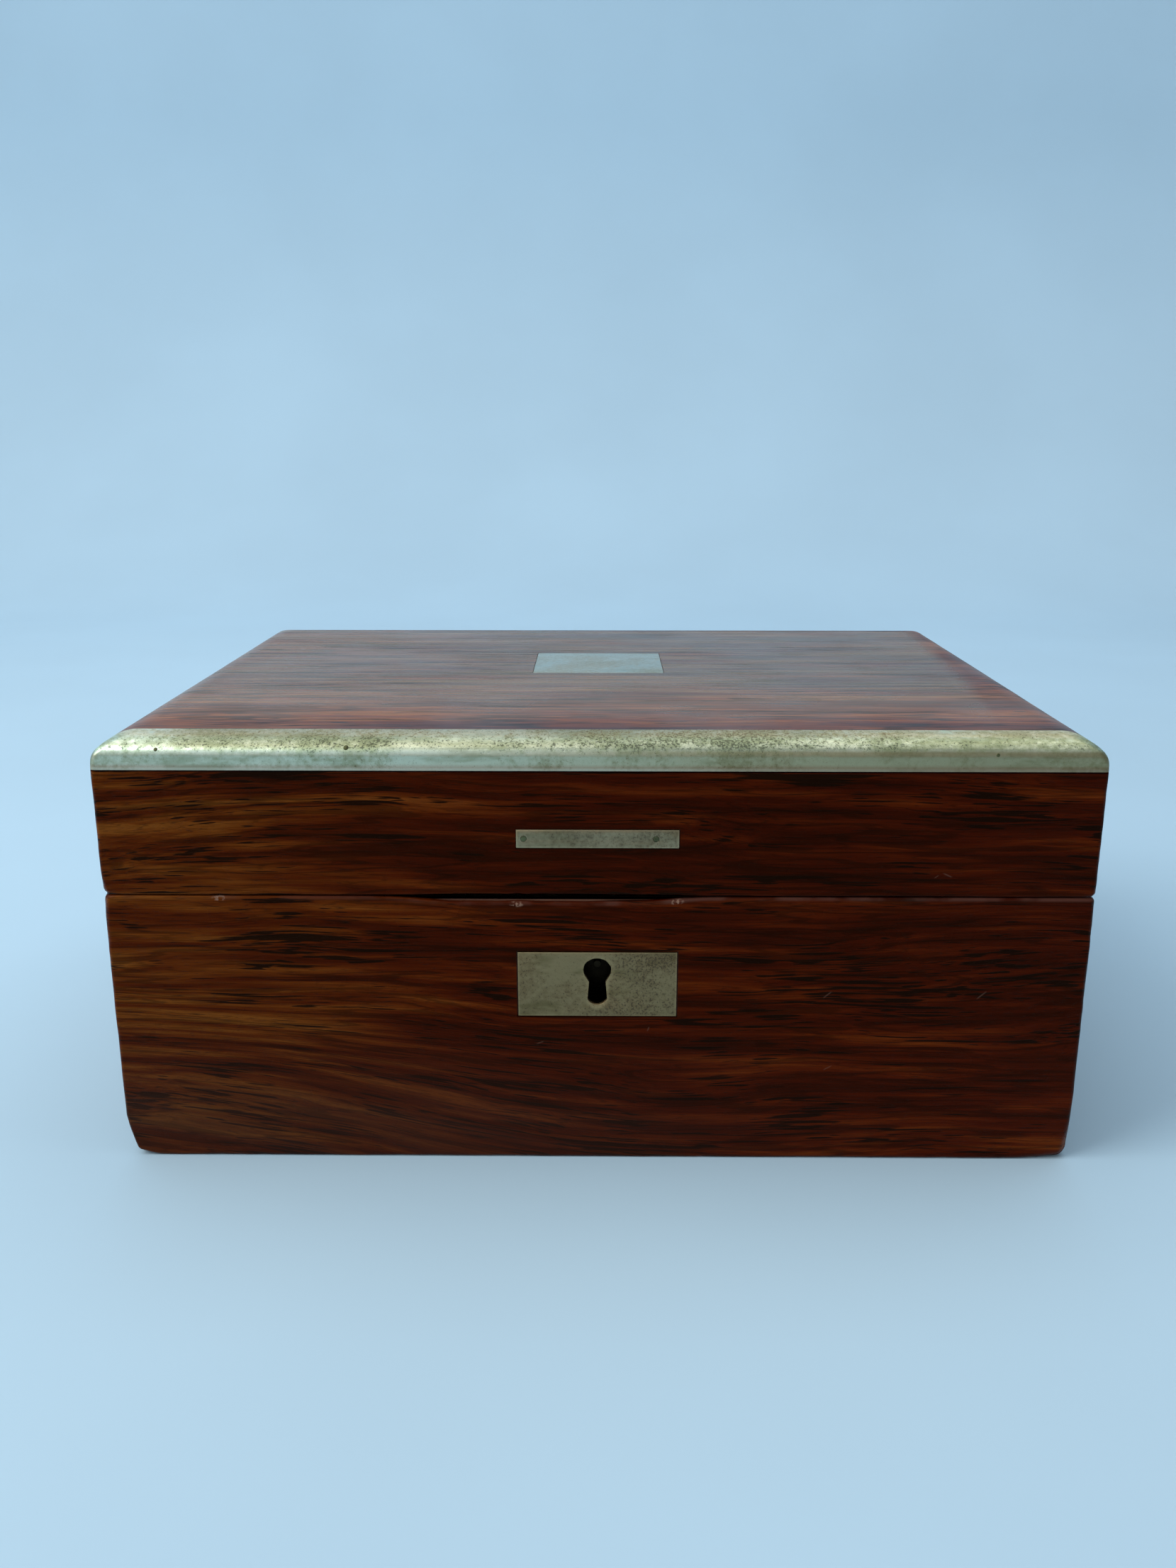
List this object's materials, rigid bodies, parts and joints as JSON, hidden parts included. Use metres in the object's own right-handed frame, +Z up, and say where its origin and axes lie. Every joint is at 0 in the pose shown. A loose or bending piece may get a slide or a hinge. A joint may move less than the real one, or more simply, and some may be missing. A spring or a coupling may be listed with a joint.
{
  "type": "antique glove box",
  "caption": "Low rosewood-veneered box with a hinged lid, metal-edged in front, a box lock with a keyhole plate, and a padded lining.",
  "frame": {"origin": "middle of the flat underside of the closed box", "axes": "+X to the right along the long side, -Y towards the front with the keyhole, +Z up"},
  "size_m": [0.254, 0.187, 0.1165],
  "materials": {
    "rosewood": "dark brown-red rosewood, old shellac polish, rubbed at the edges",
    "carcass_wood": "plain mahogany carcass wood, unpolished",
    "nickel_silver": "tarnished nickel silver, greenish grey with dark pitting",
    "brass": "old brass, dulled",
    "steel": "dark old steel",
    "lining": "faded plum velvet"
  },
  "bodies": {
    "base": {"base_bottom_board": "carcass_wood", "base_front_board": "carcass_wood", "base_back_board": "carcass_wood", "base_left_board": "carcass_wood", "base_right_board": "carcass_wood", "base_rim_facing": "rosewood", "base_front_veneer": "rosewood", "base_back_veneer": "rosewood", "base_left_veneer": "rosewood", "base_right_veneer": "rosewood", "base_lining_front": "lining", "base_lining_back": "lining", "base_lining_left": "lining", "base_lining_right": "lining", "base_floor_pad": "lining", "escutcheon": "nickel_silver", "lock_main_plate": "brass", "lock_cap": "brass", "lock_drill_pin": "steel", "lock_spring": "steel", "hinge_left_lower_leaf": "brass", "hinge_right_lower_leaf": "brass", "hinge_left_pin": "steel", "hinge_right_pin": "steel"},
    "lid": {"lid_top_board": "carcass_wood", "lid_front_board": "carcass_wood", "lid_back_board": "carcass_wood", "lid_left_board": "carcass_wood", "lid_right_board": "carcass_wood", "lid_rim_facing": "rosewood", "lid_top_veneer": "rosewood", "lid_front_veneer": "rosewood", "lid_back_veneer": "rosewood", "lid_left_veneer": "rosewood", "lid_right_veneer": "rosewood", "lid_edging_left": "rosewood", "lid_edging_right": "rosewood", "lid_edging_back": "rosewood", "lid_edge_strip": "nickel_silver", "initial_plate": "nickel_silver", "lid_bar": "nickel_silver", "lid_bar_pins": "steel", "lid_pad": "lining", "lid_lining_front": "lining", "lid_lining_back": "lining", "lid_lining_left": "lining", "lid_lining_right": "lining", "link_plate": "brass", "hinge_left_upper_leaf": "brass", "hinge_right_upper_leaf": "brass"},
    "lock_bolt": {"lock_bolt": "brass"}
  },
  "joints": [
    {"name": "lid_hinge", "type": "hinge", "parent": "base", "child": "lid", "pos_m": [0, 0.0905, 0.075], "axis": [-1, 0, 0], "range_deg": [0, 100]},
    {"name": "bolt_slide", "type": "slide", "parent": "base", "child": "lock_bolt", "axis": [1, 0, 0], "range_m": [0, 0.0045]}
  ]
}
